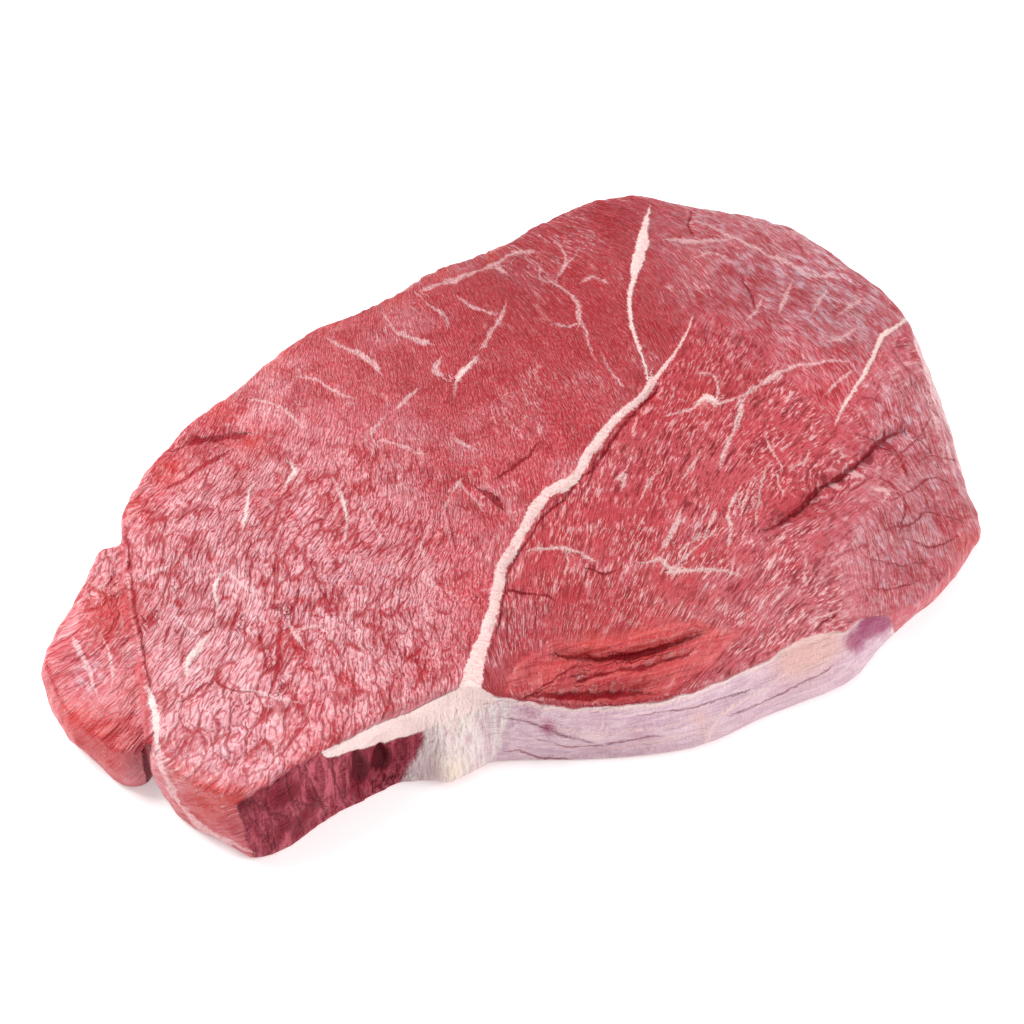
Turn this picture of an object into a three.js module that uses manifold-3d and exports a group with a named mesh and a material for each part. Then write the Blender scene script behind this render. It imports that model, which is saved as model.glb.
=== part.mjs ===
// A raw top sirloin steak: one thick slice across the whole muscle, lying on its flat cut face.
//
// Units are millimetres and +Z is up. The origin is the middle of the underside, with the
// steak's long axis along X. The steak is one piece of meat: a thick main slab of two muscles,
// and at its left end a thinner flap of a third muscle that lies lower and grows into it.

import * as THREE from "three";
import { mergeVertices } from "three/addons/utils/BufferGeometryUtils.js";
import Module from "manifold-3d";

// ---- Driving dimensions ----------------------------------------------------------------

const THICKNESS = 24.8; // the slab at the middle of its upper face
const RIGHT_END_DROP = 4; // how much thinner the slab gets towards its right end
const EDGE_ROUND_CUT = 1.6; // radius of the upper edge where the knife cut it
const EDGE_ROUND_SKIN = 5; // radius of the upper edge under the thin skin at the back right
const FOOT_ROUND = 2.2; // radius of the lower edge
const SIDE_FULLNESS = 0.9; // how far the side stands out halfway up
const SLAB_FLATNESS = 5; // how late the slab's upper face turns down towards its edge

const FLAP_THICKNESS = 18;
const FLAP_TIP_DROP = 3; // how much thinner the flap gets towards its tip
const FLAP_ROUND = 3; // radius of the flap's upper edge
const FLAP_FLATNESS = 3;

const SLAB_STEPS = { columns: 120, rings: 28, wallRings: 7 };
const FLAP_STEPS = { columns: 56, rings: 7, wallRings: 4 };

const MEAT = { color: 0xb24850, roughness: 0.42, metalness: 0 };

// The upper edge of the slab, clockwise from above: x, y and the height of the edge.
const SLAB_BACK = [
  [-87, 19, 22], [-83, 28, 22], [-73, 38, 22], [-60, 47, 22], [-44, 55, 22], [-27, 63, 22],
  [-17, 67, 22], [2, 67, 23], [18, 72, 23], [30, 72, 23], [43, 74, 23], [56, 77, 23], [67, 78, 23],
];
const SLAB_RIGHT = [
  [81, 77, 22], [91, 69, 21], [101, 62, 20], [113, 50, 19], [118, 33, 18], [122, 20, 17],
  [122, 10, 16], [117, -8, 14], [110, -27, 12], [104, -42, 9],
];
const SLAB_FRONT = [
  [102, -53, 6], [91, -61, 7], [80, -69, 9], [68, -73, 12], [57, -75, 15], [45, -77, 18],
  [30, -78, 19], [8, -80, 21], [-3, -79, 22], [-14, -76, 23], [-29, -67, 24], [-38, -60, 25],
  [-54, -59, 24], [-70, -61, 23], [-79, -62, 22],
];
const SLAB_LEFT = [
  [-89, -63, 21], [-94, -61, 20], [-99, -54, 20], [-103, -47, 20], [-104, -40, 20],
  [-99, -23, 21], [-93, 1, 22],
];

// The foot of the slab's side, in the same direction.
const FOOT_BACK = [
  [-86, 14], [-80, 27], [-71, 36], [-58, 45], [-43, 53], [-26, 61], [0, 66], [18, 70], [42, 71],
  [56, 75], [68, 77],
];
const FOOT_RIGHT = [
  [82, 76], [94, 69], [104, 62], [115, 50], [122, 33], [124, 18], [123, 6], [120, -9],
  [113, -27], [107, -42],
];
const FOOT_FRONT = [
  [104, -51], [96, -59], [83, -66], [72, -70], [62, -74], [52, -79], [42, -80], [28, -80],
  [12, -81], [-1, -78], [-14, -73], [-28, -66], [-36, -63], [-42, -65], [-49, -62], [-55, -60],
  [-63, -61], [-73, -62], [-82, -65],
];
const FOOT_LEFT = [
  [-91, -65], [-95, -58], [-101, -49], [-102, -40], [-98, -23], [-92, 0],
];

// The flap's upper edge and foot. Its right-hand side lies inside the slab.
const FLAP_EDGE = [
  [-84, 21, 18], [-90, 24, 17], [-99, 16, 16], [-108, 8, 14], [-114, 1, 12], [-115, -12, 12],
  [-113, -25, 13], [-109, -33, 13], [-103, -35, 14], [-96, -24, 17], [-84, 0, 18],
];
const FLAP_FOOT = [
  [-84, 20], [-92, 22], [-101, 16], [-109, 8], [-115, -1], [-115, -12], [-112, -24], [-109, -33],
  [-104, -35], [-96, -24], [-84, 0],
];

// The point that each piece's rings close in on.
const SLAB_MIDDLE = [-6, 18];
const FLAP_MIDDLE = [-98, -5];

// Furrows and folds in the upper face: a path in plan, the depth (a ridge where negative) and
// the distance over which it fades to each side.
const FURROWS = [
  // the long crease across the right-hand muscle, and the swellings on both its sides
  {
    path: [[97, -30], [87, -33], [76, -37], [66, -40], [57, -43], [47, -45]],
    depth: 3,
    reach: 3.6,
  },
  { path: [[92, -16], [74, -26], [54, -32], [34, -35]], depth: -0.8, reach: 8 },
  { path: [[96, -42], [76, -50], [54, -55], [34, -57]], depth: -1.2, reach: 7 },
  // two folds above the front skin
  {
    path: [[-22, -56], [-14, -61], [-7, -65], [2, -68], [11, -69], [24, -69]],
    depth: 2.4,
    reach: 3,
  },
  { path: [[-25, -65], [-15, -70], [-9, -73], [5, -77], [20, -78]], depth: 1.6, reach: 2.6 },
  // the step down along the right of the fat seam
  {
    path: [
      [70, 24], [60, 14], [47, 4], [34, -4], [21, -12], [7, -20], [-6, -29], [-19, -43],
      [-30, -60],
    ],
    depth: 0.8,
    reach: 4.5,
  },
  // a torn pocket beside the seam, and hollows in the left-hand muscle
  { path: [[-12, 2], [-11, -9], [-9, -20]], depth: 1.2, reach: 4.5 },
  { path: [[-80, 26], [-60, 36], [-40, 45]], depth: 1.4, reach: 6 },
  { path: [[-88, -30], [-66, -24], [-44, -30]], depth: 0.8, reach: 9 },
];

// The cut face at the front left: upright folds in the meat under an eave of fat.
const FOLDED_FACE = { from: -90, to: -50, pitch: 8.5, depth: 1.7 };
const FAT_EAVE = { from: -68, to: -46, height: 5, recess: 2.4 };

// Lumps on the sides: where, how far they stand out (in, where negative) and how wide they are.
const LUMPS = [
  { at: [-42, -62, 5], out: 1.8, size: 7 }, // the fat knob under the seam
  { at: [46, -78, 8], out: 1.2, size: 9 }, // the fat pad at the right
  { at: [-12, -71, 4], out: -1.5, size: 9 }, // the tuck under the skin
  { at: [-92, -62, 8], out: 1.0, size: 6 }, // the front corner
];

// ---- Helpers ---------------------------------------------------------------------------

const mix = THREE.MathUtils.lerp;

// 0 at from, 1 at to and even between them with soft ends. from may be the larger.
function smooth(from, to, value) {
  const share = THREE.MathUtils.clamp((value - from) / (to - from), 0, 1);
  return share * share * (3 - 2 * share);
}

// A closed smooth curve through the points, as a fine polygon. Points in plan get height 0.
function outline(points) {
  const corners = points.map(([x, y, z = 0]) => new THREE.Vector3(x, y, z));
  const curve = new THREE.CatmullRomCurve3(corners, true, "centripetal");
  return curve.getSpacedPoints(16 * points.length).slice(0, -1);
}

// Where the ray from the centre in a direction meets the polygon, the farthest place of several.
function crossing(polygon, centre, angle) {
  const dx = Math.cos(angle);
  const dy = Math.sin(angle);
  let found = null;
  polygon.forEach((a, i) => {
    const b = polygon[(i + 1) % polygon.length];
    const sideA = dx * (a.y - centre.y) - dy * (a.x - centre.x);
    const sideB = dx * (b.y - centre.y) - dy * (b.x - centre.x);
    if (sideA > 0 === sideB > 0) return;
    const point = a.clone().lerp(b, sideA / (sideA - sideB));
    const reach = dx * (point.x - centre.x) + dy * (point.y - centre.y);
    if (reach > 0 && (!found || reach > found.reach)) found = { reach, point };
  });
  return found.point;
}

// The distance in plan from a point to a path, and how far along the path its nearest point is.
function nearestOn(path, x, y) {
  let nearest = { distance: Infinity, along: 0 };
  for (let i = 1; i < path.length; i++) {
    const [ax, ay] = path[i - 1];
    const [ex, ey] = [path[i][0] - ax, path[i][1] - ay];
    const raw = ((x - ax) * ex + (y - ay) * ey) / (ex * ex + ey * ey);
    const share = THREE.MathUtils.clamp(raw, 0, 1);
    const distance = Math.hypot(x - ax - share * ex, y - ay - share * ey);
    if (distance < nearest.distance) {
      nearest = { distance, along: (i - 1 + share) / (path.length - 1) };
    }
  }
  return nearest;
}

// ---- The forms -------------------------------------------------------------------------

// The height of the slab's upper face away from its edges, before its furrows.
function slabCrown(x, y) {
  const lean = RIGHT_END_DROP * smooth(35, 110, x) * smooth(70, -50, y);
  const waves = 0.5 * Math.sin(x / 17 + 0.6) * Math.cos(y / 14) + 0.35 * Math.sin((x - y) / 9);
  return THICKNESS - lean + waves;
}

// What the furrows and folds add to the upper face, each fading out at its ends.
function furrows(x, y) {
  return FURROWS.reduce((sum, { path, depth, reach }) => {
    const { distance, along } = nearestOn(path, x, y);
    const fade = smooth(0, 0.3, along) * smooth(1, 0.7, along);
    return sum - depth * fade * Math.exp(-((distance / reach) ** 2));
  }, 0);
}

// How far the cut face at the front left stands back, in its folds and under the fat.
function foldRecess(x, z, edgeHeight) {
  const { from, to, pitch, depth } = FOLDED_FACE;
  const onFace = smooth(from, from + 5, x) * smooth(to, to - 4, x);
  const folds = depth * Math.sin((Math.PI * (x - from)) / pitch) ** 2;
  const eave = FAT_EAVE;
  const underFat = smooth(eave.from, eave.from + 5, x) * smooth(eave.to, eave.to - 3, x);
  const eaveFoot = edgeHeight - eave.height;
  return (
    onFace * folds * smooth(edgeHeight, edgeHeight - 4, z) +
    underFat * eave.recess * smooth(eaveFoot + 1, eaveFoot - 2, z)
  );
}

// How far the slab's side stands out from its plain form at a point.
function slabSide(x, y, z, edgeHeight) {
  const lumps = LUMPS.reduce((sum, { at, out, size }) => {
    const away = Math.hypot(x - at[0], y - at[1], z - at[2]);
    return sum + out * Math.exp(-((away / size) ** 2));
  }, 0);
  return y > 0 ? lumps : lumps - foldRecess(x, z, edgeHeight);
}

// The upper edge's radius: small where it was cut, larger under the skin at the back right.
function slabEdgeRound(x, y) {
  return mix(EDGE_ROUND_CUT, EDGE_ROUND_SKIN, smooth(60, 95, x) * smooth(-50, -30, y));
}

// One column of points up a side: half of the rounded foot, the side, and the rounded edge.
function sideColumn({ wallRings, round, sidewards }, top, base, outward) {
  const radius = round(top.x, top.y);
  const moved = (from, out, height) => from.clone().addScaledVector(outward, out).setZ(height);
  const column = [];
  for (const turn of [0, Math.PI / 4]) {
    const inset = FOOT_ROUND * (1 - Math.sin(turn));
    column.push(moved(base, -inset, FOOT_ROUND * (1 - Math.cos(turn))));
  }
  for (let step = 0; step < wallRings; step++) {
    const share = step / (wallRings - 1);
    const height = mix(FOOT_ROUND, top.z - radius, share);
    const at = base.clone().lerp(top, share);
    const fullness = SIDE_FULLNESS * Math.sin(Math.PI * share);
    column.push(moved(at, fullness + sidewards(at.x, at.y, height, top.z), height));
  }
  for (const turn of [Math.PI / 4, Math.PI / 2]) {
    const inset = radius * (1 - Math.cos(turn));
    column.push(moved(top, -inset, top.z - radius * (1 - Math.sin(turn))));
  }
  return column;
}

// The same column over the upper face, from the edge in to the last ring before the middle.
function faceColumn({ rings, crown, relief, flatness }, rim, centre, edgeHeight) {
  const column = [];
  for (let ring = 1; ring < rings; ring++) {
    const share = (1 - ring / rings) ** 0.85;
    const x = mix(centre.x, rim.x, share);
    const y = mix(centre.y, rim.y, share);
    const height = mix(edgeHeight, crown(x, y), 1 - share ** flatness);
    column.push(new THREE.Vector3(x, y, height + relief(x, y) * smooth(1, 0.97, share)));
  }
  return column;
}

// The closed mesh through equal columns, with one point at the foot's middle and one on top.
function closedMesh(columns, foot, summit, clockwise) {
  const perColumn = columns[0].length;
  const index = [];
  const face = (a, b, c) => index.push(...(clockwise ? [a, c, b] : [a, b, c]));
  const footIndex = columns.length * perColumn;
  columns.forEach((_, number) => {
    const here = number * perColumn;
    const next = ((number + 1) % columns.length) * perColumn;
    face(footIndex, next, here);
    for (let level = 1; level < perColumn; level++) {
      face(here + level - 1, next + level - 1, next + level);
      face(here + level - 1, next + level, here + level);
    }
    face(here + perColumn - 1, next + perColumn - 1, footIndex + 1);
  });
  const geometry = new THREE.BufferGeometry();
  geometry.setFromPoints([...columns.flat(), foot, summit]);
  geometry.setIndex(index);
  return geometry;
}

// A pillow of meat between its foot's outline and its upper edge. crown(x, y) is the upper
// face's height, relief(x, y) what is added to it, and sidewards what the side stands out.
function pillow(form) {
  const edgeCurve = outline(form.edge);
  const footCurve = outline(form.foot);
  const [x, y] = form.middle;
  const centre = new THREE.Vector3(x, y, 0);
  const columns = [];
  for (let number = 0; number < form.columns; number++) {
    const start = edgeCurve[Math.floor((number * edgeCurve.length) / form.columns)];
    const angle = Math.atan2(start.y - centre.y, start.x - centre.x);
    const outward = new THREE.Vector3(Math.cos(angle), Math.sin(angle), 0);
    const top = crossing(edgeCurve, centre, angle);
    const side = sideColumn(form, top, crossing(footCurve, centre, angle), outward);
    columns.push([...side, ...faceColumn(form, side[side.length - 1], centre, top.z)]);
  }
  const summit = new THREE.Vector3(x, y, form.crown(x, y) + form.relief(x, y));
  return closedMesh(columns, centre, summit, THREE.ShapeUtils.isClockWise(edgeCurve));
}

function slab() {
  return pillow({
    ...SLAB_STEPS,
    edge: [...SLAB_BACK, ...SLAB_RIGHT, ...SLAB_FRONT, ...SLAB_LEFT],
    foot: [...FOOT_BACK, ...FOOT_RIGHT, ...FOOT_FRONT, ...FOOT_LEFT],
    middle: SLAB_MIDDLE,
    round: slabEdgeRound,
    crown: slabCrown,
    relief: furrows,
    sidewards: slabSide,
    flatness: SLAB_FLATNESS,
  });
}

function flap() {
  return pillow({
    ...FLAP_STEPS,
    edge: FLAP_EDGE,
    foot: FLAP_FOOT,
    middle: FLAP_MIDDLE,
    round: () => FLAP_ROUND,
    crown: (x) => FLAP_THICKNESS - FLAP_TIP_DROP * smooth(-100, -114, x),
    relief: (x, y) => 0.6 * Math.sin(y / 5 + x / 9),
    sidewards: (x, y, z) => 0.6 * Math.sin(y / 3.5) * smooth(0, 5, z),
    flatness: FLAP_FLATNESS,
  });
}

// ---- Joining ---------------------------------------------------------------------------

const wasm = await Module();
wasm.setup();

function solidOf(geometry) {
  const merged = mergeVertices(geometry, 1e-4);
  return new wasm.Manifold(
    new wasm.Mesh({
      numProp: 3,
      vertProperties: merged.getAttribute("position").array,
      triVerts: new Uint32Array(merged.getIndex().array),
    }),
  );
}

function geometryOf(solid) {
  const { vertProperties, triVerts } = solid.getMesh();
  const geometry = new THREE.BufferGeometry();
  geometry.setAttribute("position", new THREE.BufferAttribute(vertProperties, 3));
  geometry.setIndex(new THREE.BufferAttribute(triVerts, 1));
  return geometry;
}

const steakGeometry = geometryOf(solidOf(slab()).add(solidOf(flap())));
steakGeometry.computeBoundingBox();
const box = steakGeometry.boundingBox;
const middle = box.getCenter(new THREE.Vector3());
steakGeometry.translate(-middle.x, -middle.y, -box.min.z);
steakGeometry.computeVertexNormals();

const steak = new THREE.Mesh(steakGeometry, new THREE.MeshStandardMaterial(MEAT));
steak.name = "steak";

const model = new THREE.Group();
model.add(steak);

export default model;
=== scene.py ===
"""A raw top sirloin steak lying on a plain pale floor.

The fine mesh is made from the CAD solid. Seams, folds and marbling are laid on it by lines and
outlines in pixels of the 1024 by 1024 photograph, as seen through the camera below. Lengths are
metres unless a name says otherwise.
"""

import itertools
import math
from types import SimpleNamespace

import bpy
import numpy as np
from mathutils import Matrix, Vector


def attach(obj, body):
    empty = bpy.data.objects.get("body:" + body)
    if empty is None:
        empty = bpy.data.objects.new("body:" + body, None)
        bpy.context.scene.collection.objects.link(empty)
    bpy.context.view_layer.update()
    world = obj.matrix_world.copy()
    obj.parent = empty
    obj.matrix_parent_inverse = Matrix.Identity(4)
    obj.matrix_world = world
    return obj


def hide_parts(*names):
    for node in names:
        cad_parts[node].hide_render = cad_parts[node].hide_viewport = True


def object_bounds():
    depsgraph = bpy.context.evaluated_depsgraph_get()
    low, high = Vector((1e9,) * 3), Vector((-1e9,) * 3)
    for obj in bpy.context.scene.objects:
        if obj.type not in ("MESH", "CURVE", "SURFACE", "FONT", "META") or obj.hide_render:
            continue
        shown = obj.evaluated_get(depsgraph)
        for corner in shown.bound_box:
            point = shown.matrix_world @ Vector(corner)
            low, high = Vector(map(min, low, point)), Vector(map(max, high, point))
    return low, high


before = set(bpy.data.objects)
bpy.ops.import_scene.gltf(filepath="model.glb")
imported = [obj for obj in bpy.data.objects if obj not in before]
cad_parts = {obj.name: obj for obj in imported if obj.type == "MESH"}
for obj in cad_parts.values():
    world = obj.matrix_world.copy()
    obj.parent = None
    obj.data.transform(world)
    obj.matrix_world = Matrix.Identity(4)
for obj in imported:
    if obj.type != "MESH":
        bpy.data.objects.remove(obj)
cad_low, cad_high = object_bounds()
scene = bpy.context.scene

# ---- The camera ----

IMAGE = 1024
LENS_MM = 100.0
SENSOR_MM = 36.0
AZIMUTH = math.radians(-27.0)
ELEVATION = math.radians(45.0)
DISTANCE = 0.69
TARGET = np.array([0.0028, 0.00715, 0.0])

BACK = np.array([
    math.sin(AZIMUTH) * math.cos(ELEVATION),
    -math.cos(AZIMUTH) * math.cos(ELEVATION),
    math.sin(ELEVATION),
])
RIGHT = np.array([math.cos(AZIMUTH), math.sin(AZIMUTH), 0.0])
UP = np.cross(BACK, RIGHT)
EYE = TARGET + BACK * DISTANCE
FOCAL_PX = LENS_MM / SENSOR_MM * IMAGE
MM = 0.001


def to_pixels(points):
    """Where points in the row frame fall in the photograph, from its upper left corner."""
    from_eye = points - EYE
    depth = -(from_eye @ BACK)
    across = IMAGE / 2 + FOCAL_PX * (from_eye @ RIGHT) / depth
    down = IMAGE / 2 - FOCAL_PX * (from_eye @ UP) / depth
    return np.stack([across, down], axis=1)


def to_plan(across, down, height):
    """The point at a height in the row frame that shows at a place in the photograph."""
    ray = RIGHT * (across - IMAGE / 2) - UP * (down - IMAGE / 2) - BACK * FOCAL_PX
    return EYE + ray * (height - EYE[2]) / ray[2]


# ---- Lines in the meat: across, down and half of the width, in pixels ----

# Lines that are also folds in the mesh
BESIDE_SEAM = [
    (655, 391, 1.2), (625, 424, 1.8), (606, 449, 1.6), (592, 470, 1.8), (566, 494, 1.8),
    (540, 521, 1.6), (523, 549, 1.8), (508, 572, 1.6), (503, 600, 1.4), (497, 632, 1.2),
]
LONG_CREASE = [
    (905, 429, 1), (885, 437, 2), (868, 455, 1.8), (848, 472, 2.2), (825, 487, 2.8),
    (806, 503, 2.8), (786, 519, 2), (766, 530, 1),
]
MIDDLE_FOLD = [(577, 682, 0.8), (600, 673, 2), (625, 668, 1.4), (655, 664, 1), (690, 655, 0.6)]
LOWER_FOLD = [
    (530, 694, 0.6), (550, 695, 2.2), (575, 694, 3), (600, 693, 2.8), (630, 691, 1.8),
    (662, 688, 0.6),
]
TORN_POCKET = [(480, 486, 1), (492, 497, 3.4), (500, 505, 2)]
LEFT_HOLLOW = [(175, 449, 1), (196, 440, 3), (222, 436, 3.4), (246, 432, 1.6)]
BACK_NICK = [(690, 215, 1), (688, 225, 2), (692, 232, 1)]
RIGHT_NICK = [(744, 280, 1), (752, 292, 1.6), (756, 306, 1)]
SKIN_CORD = [
    (784, 673, 1), (764, 686, 1.8), (742, 700, 2.2), (720, 714, 2.4), (708, 728, 3), (705, 740, 4),
]

FAT_SEAMS = [
    # the long seam between the two muscles, from its tip down to the fat at the front
    [(692, 319, 0.6), (680, 345, 1.2), (665, 366, 1.8), (650, 385, 3), (641, 397, 3.4),
     (628, 408, 3.6), (615, 420, 4.4), (602, 436, 4.6), (589, 452, 4.6), (582, 466, 5),
     (574, 480, 5.2), (554, 489, 5.4), (544, 497, 5), (530, 517, 5), (521, 533, 5),
     (513, 549, 5.4), (502, 566, 5.4), (497, 590, 5.4), (492, 612, 5.8), (484, 638, 6.6),
     (477, 660, 8), (473, 676, 10), (470, 690, 12)],
    # its branch up to the back edge
    [(650, 208, 0.8), (647, 218, 2.4), (644, 232, 4.4), (642, 246, 6), (639, 258, 6),
     (634, 276, 3.6), (630, 296, 2.4), (630, 316, 2.4), (634, 334, 2), (641, 354, 1.6),
     (647, 373, 1.6), (650, 385, 2)],
    # the line from the notch in the right-hand outline
    [(907, 319, 1.8), (896, 327, 2.4), (883, 336, 3), (877, 347, 2.6), (866, 371, 2),
     (855, 388, 1.7), (844, 405, 1.8), (836, 421, 0.8)],
    # the fat where the flap meets the slab
    [(148, 686, 1), (153, 703, 4), (157, 722, 3.8), (158, 742, 2.2)],
    # small lumps of fat
    [(250, 492, 0.6), (247, 508, 2.4), (244, 524, 0.8)],
    [(222, 573, 0.6), (216, 585, 2.4), (215, 600, 0.6)],
    [(206, 637, 0.6), (197, 649, 3.4), (189, 660, 3), (187, 672, 0.8)],
    [(288, 462, 0.5), (295, 471, 2), (288, 481, 0.6)],
    [(698, 401, 0.6), (708, 397, 3), (717, 403, 0.8)],
    [(476, 358, 0.6), (464, 372, 2.4), (457, 382, 0.8)],
    [(341, 494, 0.5), (345, 507, 1.8), (346, 520, 0.6)],
]
MARBLING = [
    # the right-hand muscle
    [(668, 414, 0.8), (684, 409, 1.4), (697, 405, 2), (706, 398, 4.2), (717, 403, 1.8),
     (732, 401, 1.2), (747, 393, 1.5), (760, 385, 2), (773, 377, 2.4), (792, 366, 2.8),
     (812, 364, 2), (830, 360, 1.4), (846, 361, 0.8)],
    [(716, 404, 1.6), (717, 390, 1.2), (713, 376, 1), (702, 374, 1)],
    [(742, 401, 1.6), (739, 418, 2.8), (732, 433, 2.2), (726, 448, 2.4), (721, 466, 1.2)],
    [(640, 563, 1.2), (660, 560, 2), (671, 569, 2.6), (684, 571, 2.2), (703, 568, 1.8),
     (722, 569, 1.7), (739, 575, 1.2)],
    [(671, 571, 2), (682, 558, 1.4), (700, 543, 1.1), (716, 530, 0.8)],
    [(680, 515, 2), (676, 524, 3.2), (670, 536, 3), (664, 547, 1.4)],
    [(714, 513, 1.8), (710, 523, 2.6), (705, 535, 1.2)],
    [(737, 492, 2), (732, 503, 2.6), (728, 516, 1.6), (731, 528, 2.2), (730, 542, 1.2)],
    [(751, 482, 1), (746, 496, 1.6), (742, 512, 1)],
    [(764, 470, 1), (760, 490, 1.5), (757, 508, 1.1), (755, 524, 0.6)],
    [(776, 474, 0.8), (779, 486, 1.4), (783, 494, 0.8)],
    [(700, 532, 1), (690, 541, 1.6), (682, 548, 0.8)],
    [(659, 470, 0.8), (652, 480, 1.6), (646, 488, 0.9)],
    [(700, 452, 0.8), (692, 464, 1.5), (684, 478, 0.8)],
    [(618, 480, 0.8), (626, 476, 2), (622, 488, 1)],
    [(531, 553, 1), (546, 549, 1.6), (562, 547, 2), (580, 552, 1.2), (596, 561, 0.8)],
    [(562, 547, 1), (569, 560, 1.2), (566, 574, 0.8)],
    [(768, 442, 1.2), (775, 455, 1.6), (781, 468, 0.8)],
    [(810, 452, 1), (803, 462, 1.4), (792, 470, 0.7)],
    [(876, 486, 1.4), (888, 491, 2.2), (884, 500, 1.2)],
    # the left-hand muscle, near the back edge
    [(425, 290, 2.4), (440, 285, 2), (457, 281, 2.2), (475, 273, 1.8), (492, 266, 2),
     (505, 258, 1.6), (518, 252, 1.6), (533, 252, 1)],
    [(418, 296, 1.4), (430, 305, 1.6), (444, 313, 1.3), (447, 323, 0.8)],
    [(461, 299, 1.2), (470, 305, 1.6), (479, 309, 1.6), (494, 314, 1)],
    [(492, 266, 1), (500, 270, 1.7), (509, 277, 1)],
    [(331, 341, 1.2), (345, 347, 2.4), (358, 354, 3), (370, 361, 3.2), (379, 371, 1.4)],
    [(384, 315, 1), (392, 326, 1.2), (398, 333, 0.8)],
    [(402, 333, 2.4), (414, 339, 3), (428, 344, 2.2)],
    [(505, 307, 1.2), (500, 320, 2), (494, 328, 2.6), (484, 344, 3)],
    [(474, 361, 3), (463, 373, 4), (457, 382, 2), (454, 394, 1.2)],
    [(438, 362, 2), (436, 371, 3.6), (446, 380, 1.6)],
    [(416, 392, 1), (407, 400, 2), (398, 408, 1.2)],
    [(383, 419, 1), (371, 433, 3.2), (374, 444, 1.4), (372, 456, 0.8)],
    [(380, 440, 0.8), (400, 447, 1.2), (424, 455, 0.9)],
    [(456, 440, 1), (462, 444, 2.2), (474, 449, 1)],
    [(554, 240, 1), (562, 248, 1.3), (566, 262, 1.3), (557, 280, 2), (566, 291, 1.5),
     (577, 302, 1.7), (579, 318, 1.8), (586, 332, 1.4), (591, 351, 1)],
    [(557, 281, 1.4), (546, 281, 1.2), (539, 276, 1.2), (541, 266, 0.8)],
    [(566, 264, 1), (574, 258, 1.2), (577, 250, 0.8)],
    [(584, 281, 1.6), (592, 277, 2), (604, 281, 1.6)],
    [(579, 322, 1), (568, 327, 1), (556, 325, 0.7)],
    [(622, 385, 1), (610, 371, 0.9), (603, 358, 0.7)],
    [(298, 377, 1), (310, 379, 1.7), (324, 384, 1.8), (337, 391, 1.6), (350, 398, 1)],
    [(252, 400, 1), (270, 404, 1.8), (288, 414, 1.4), (300, 424, 0.8)],
    # the left-hand muscle, lower down
    [(252, 487, 1.4), (248, 500, 3.2), (246, 514, 2.8), (243, 528, 1.6)],
    [(291, 462, 2), (295, 471, 3.2), (287, 482, 2), (280, 494, 1.6)],
    [(334, 481, 1.2), (340, 494, 1.8), (345, 508, 2.6), (347, 520, 1.8), (344, 543, 0.8)],
    [(362, 500, 0.7), (371, 520, 1), (382, 540, 0.8)],
    [(227, 570, 1.4), (218, 579, 3.6), (215, 590, 3), (217, 606, 1.8), (216, 622, 0.9)],
    [(230, 573, 1.2), (240, 583, 2.6), (252, 589, 1.8), (266, 596, 1)],
    [(212, 632, 1.4), (202, 641, 3.4), (194, 652, 5.6), (188, 663, 4.4), (187, 675, 1.6)],
    [(289, 622, 2), (296, 636, 2), (304, 649, 1)],
    [(296, 628, 1), (310, 625, 2), (322, 627, 1.6), (336, 642, 0.8)],
    [(166, 566, 1), (152, 573, 2.4), (141, 580, 1.4)],
    [(176, 618, 0.8), (188, 628, 1.4), (198, 634, 1)],
    [(243, 690, 0.8), (262, 693, 1.6), (280, 700, 1.8), (298, 703, 1)],
    [(459, 483, 2), (450, 497, 1.4), (443, 511, 0.9)],
    [(459, 483, 2), (470, 494, 1.3), (482, 512, 1)],
    [(430, 528, 1), (421, 544, 1.6), (424, 556, 0.8)],
    # silvery lines at the upper right
    [(668, 240, 1.4), (690, 242, 2.2), (714, 241, 1.6), (734, 240, 1)],
    [(696, 222, 1.4), (720, 232, 2.2), (745, 243, 2.4), (768, 255, 2.8), (790, 264, 2),
     (812, 275, 2.2), (834, 277, 1.4)],
    [(790, 286, 1), (785, 298, 3), (780, 310, 1.2)],
    [(826, 290, 1), (819, 301, 2.6), (812, 312, 1)],
    [(856, 328, 1), (842, 337, 2.6), (830, 341, 1)],
    [(762, 300, 0.8), (756, 312, 1.8), (748, 320, 0.8)],
    [(696, 258, 0.8), (710, 252, 2), (724, 256, 0.9)],
    [(860, 300, 0.8), (850, 306, 2), (838, 314, 0.8)],
    [(850, 372, 0.8), (838, 382, 1.8), (828, 392, 0.8)],
    # the smooth right-hand end, with pale streaks that are partly its own and partly painted sheen
    [(915, 340, 1), (928, 372, 2.4), (938, 400, 3), (950, 430, 3), (960, 462, 2), (966, 488, 1)],
    [(921, 384, 1), (932, 412, 2), (940, 440, 1.6), (946, 462, 0.8)],
    # the flap, with streaks that are partly fascia and partly painted highlight, and the stripe of
    # skin down to the front corner
    [(74, 640, 1.6), (83, 658, 3.6), (90, 675, 3), (96, 692, 1.2)],
    [(104, 640, 1), (110, 660, 2), (112, 684, 1)],
    [(158, 742, 2), (162, 765, 3.6), (172, 790, 4), (194, 820, 3.4), (222, 838, 3), (250, 852, 1)],
    # the thin skin along the front
    [(483, 703, 0.8), (510, 712, 1.1), (540, 723, 1.2), (570, 731, 1.2), (600, 735, 1.4),
     (633, 729, 1.2), (665, 726, 1), (692, 720, 0.8)],
    [(599, 740, 0.8), (601, 728, 1.3), (604, 716, 0.8)],
    SKIN_CORD,
    [(560, 747, 0.8), (620, 748, 1), (676, 738, 1.1), (722, 728, 0.8)],
    [(500, 702, 1), (546, 709, 1.4), (600, 711, 1.4), (650, 706, 1.2), (700, 696, 1)],
]
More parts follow.
